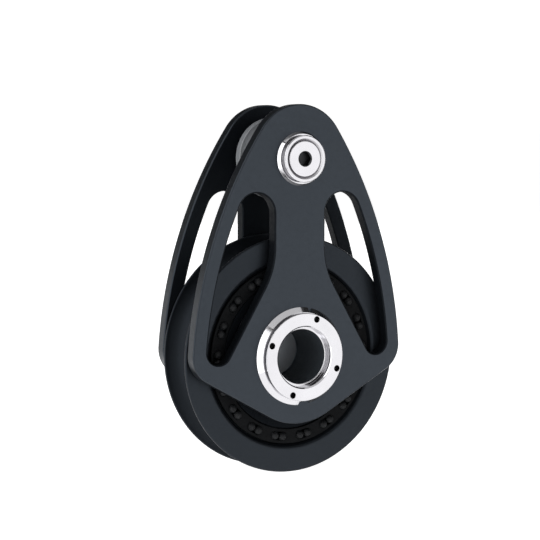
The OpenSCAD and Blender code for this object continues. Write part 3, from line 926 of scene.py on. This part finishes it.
def post_screw(name, side):
    """Flat-headed screw with a hexagon socket that has a round, countersunk mouth."""
    seat = SCREW_TOP - SCREW_HEAD_T
    profile = [
        (0, SCREW_LOW), (SHANK_R, SCREW_LOW, SCREW_POINT), (SHANK_R, seat), (SCREW_HEAD_R, seat),
        (SCREW_HEAD_R, SCREW_TOP, FINE_EDGE), (0, SCREW_TOP),
    ]
    face, axis = side * SCREW_TOP, Vector((0, POST_Z))
    shell = Shell()
    points, rings = lathe(shell, flipped(profile, side), height=POST_Z, count=128, skip=[face])
    cone_low = SCREW_TOP - SOCKET_MOUTH_R + SOCKET_AF / 2
    depth = SOCKET_DEPTH + cone_low - SCREW_TOP
    socket = hexagon_hole(axis, SOCKET_AF, FINE_EDGE)
    # The socket's walls, bottom and countersunk mouth take the painted-shade slot
    opening = blind_hole(shell, socket, side * cone_low, depth, side, 0, SOCKET_TIP, slot=1)
    mouth = ring_outline(axis, SOCKET_MOUTH_R, count=96, outward=-1)
    mouth_ring = [shell.vert((p.x, face, p.y)) for p, _ in mouth]
    slope = [Vector((n.x, side, n.y)).normalized() for _, n in mouth]
    shell.cone(mouth_ring, opening, slope, slot=1)
    shell.cap([rings_at(points, rings, face)[0], mouth_ring], side)
    shell.build(name, "block_frame", [POLISHED_HEAD, HOLE_PAINTED_SHADE])


# ---------------------------------------------------------------- make the pieces
for end, way in (("front", -1), ("rear", 1)):
    side_plate(end + "_side_plate", way)
    hub_washer(end + "_hub_washer", way)
    hub_nut(end + "_hub_nut", way)
    thrust_balls(end + "_thrust_balls", end + "_ball_train", way)
    ball_retainer(end + "_ball_retainer", end + "_ball_train", way)
    spool_washer(end + "_spool_washer", way)
    post_collar(end + "_post_collar", way)
    post_screw(end + "_post_screw", way)
sheave()
hub_axle()
head_post()
loop_spool()

INNER_FINISH = {
    "outer_race": GROUND_STEEL, "inner_race": GROUND_STEEL,
    "roller_set": ROLLER_RESIN, "roller_cage": ACETAL_BLACK,
    "front_bearing_washer": ACETAL_BLACK, "rear_bearing_washer": ACETAL_BLACK,
}
for cad_node, material in INNER_FINISH.items():
    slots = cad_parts[cad_node].data.materials
    slots.clear()
    slots.append(material)


# ---------------------------------------------------------------- stage, light and camera
def stage_material(name, grey, glow):
    """Lit white acrylic: a grey base, faintly uneven, and a glow from behind."""
    material, tree, shader = new_material(name)
    paint(tree, shader, noise(tree, STAGE_PATCHES), [grey * STAGE_SHADE] * 3, [grey] * 3)
    shader.inputs["Roughness"].default_value = 0.9
    shader.inputs["Emission Color"].default_value = (1, 1, 1, 1)
    shader.inputs["Emission Strength"].default_value = glow
    return material


def sweep():
    """A pale lit floor that curves up into a backdrop behind the object. Reflections don't show it."""
    floor_z = CAD_BOX[0].z
    half_width, front, back, bend, top = 3.0, -2.5, 1.6, 0.9, 3.0
    turns = [math.radians(angle) for angle in range(0, 91, 6)]
    path = [(front, floor_z)]
    path += [(back + bend * math.sin(turn), floor_z + bend * (1 - math.cos(turn))) for turn in turns]
    path.append((back + bend, floor_z + top))
    verts = [(x, y, z) for y, z in path for x in (-half_width, half_width)]
    faces = [(2 * i, 2 * i + 1, 2 * i + 3, 2 * i + 2) for i in range(len(path) - 1)]
    mesh = bpy.data.meshes.new("studio_sweep")
    mesh.from_pydata(verts, [], faces)
    mesh.polygons.foreach_set("use_smooth", [True] * len(faces))
    mesh.materials.append(stage_material("studio_white", 0.6, 0.95))
    floor = bpy.data.objects.new("studio_sweep", mesh)
    bpy.context.scene.collection.objects.link(floor)
    floor.visible_glossy = False
    floor.visible_diffuse = False
    floor.visible_shadow = False


def softbox(name, turn, lift, distance, size, brightness):
    """A rectangular lamp that faces the object.

    turn counts anticlockwise from the front as seen from above, lift from level, both in degrees.
    distance and size are in metres.
    """
    turn, lift = math.radians(turn), math.radians(lift)
    level = Vector((math.sin(turn), -math.cos(turn), 0))
    aim = level * math.cos(lift) + Vector((0, 0, math.sin(lift)))
    across = Vector((0, 0, 1)).cross(aim).normalized()
    data = bpy.data.lights.new(name, "AREA")
    data.shape = "RECTANGLE"
    data.size, data.size_y = size
    data.energy = math.pi * size[0] * size[1] * brightness
    lamp = bpy.data.objects.new(name, data)
    lamp.visible_camera = False
    lamp.location = Vector((0, 0, 0.01)) + aim * distance
    lamp.rotation_mode = "QUATERNION"
    lamp.rotation_quaternion = Matrix((across, aim.cross(across), aim)).transposed().to_quaternion()
    bpy.context.scene.collection.objects.link(lamp)


def studio():
    """A dark room that looks white from the camera, with softboxes all round."""
    dark, white = 0.03, 1.0
    world = bpy.data.worlds.new("studio_world")
    bpy.context.scene.world = world
    world.use_nodes = True
    tree = world.node_tree
    background = tree.nodes["Background"]
    background.inputs["Color"].default_value = (1, 1, 1, 1)
    seen = tree.nodes.new("ShaderNodeLightPath").outputs["Is Camera Ray"]
    strength = tree.nodes.new("ShaderNodeMapRange")
    strength.inputs["To Min"].default_value = dark
    strength.inputs["To Max"].default_value = white
    link(tree, seen, strength.inputs["Value"])
    link(tree, strength.outputs["Result"], background.inputs["Strength"])

    # turn, lift, distance, size and brightness
    softbox("front_right", 29, -10, 1.3, (1.5, 1.5), 1.65)
    softbox("front_left", -24, 0, 1.5, (0.95, 1.4), 1.1)
    softbox("left", -80, 12, 1.0, (1.2, 1.9), 2.7)
    softbox("back_left", -151, -16, 1.3, (1.1, 1.1), 1.0)
    softbox("top", 0, 80, 1.2, (1.4, 1.4), 0.85)
    softbox("below", -45, -70, 1.0, (2.0, 1.8), 1.65)
    softbox("back", 158, -9, 1.4, (1.75, 1.25), 1.4)
    softbox("right", 112, -10, 1.2, (1.3, 1.3), 2.2)
    bpy.context.scene.view_settings.view_transform = "Standard"


def photo_camera():
    """The camera at the photograph's viewing angle, moved left and up to place the block in frame."""
    azimuth, elevation, roll = math.radians(-29.16), math.radians(4.82), math.radians(0.19)
    distance, left_shift, up_shift = 0.50922, 0.003216, 0.025998
    sensor, lens_ratio = 36, 2.9496
    back = Vector((math.sin(azimuth) * math.cos(elevation), -math.cos(azimuth) * math.cos(elevation),
                   math.sin(elevation)))
    right = Vector((math.cos(azimuth), math.sin(azimuth), 0))
    up = back.cross(right)
    rolled_right = right * math.cos(roll) + up * math.sin(roll)
    rolled_up = up * math.cos(roll) - right * math.sin(roll)
    data = bpy.data.cameras.new("photo_camera")
    data.sensor_width = sensor
    data.lens = sensor * lens_ratio
    data.clip_start, data.clip_end = 0.01, 50
    camera = bpy.data.objects.new("photo_camera", data)
    camera.location = back * distance - rolled_right * left_shift + rolled_up * up_shift
    camera.rotation_mode = "QUATERNION"
    camera.rotation_quaternion = Matrix((rolled_right, rolled_up, back)).transposed().to_quaternion()
    bpy.context.scene.collection.objects.link(camera)
    bpy.context.scene.camera = camera


photo_camera()
sweep()
studio()
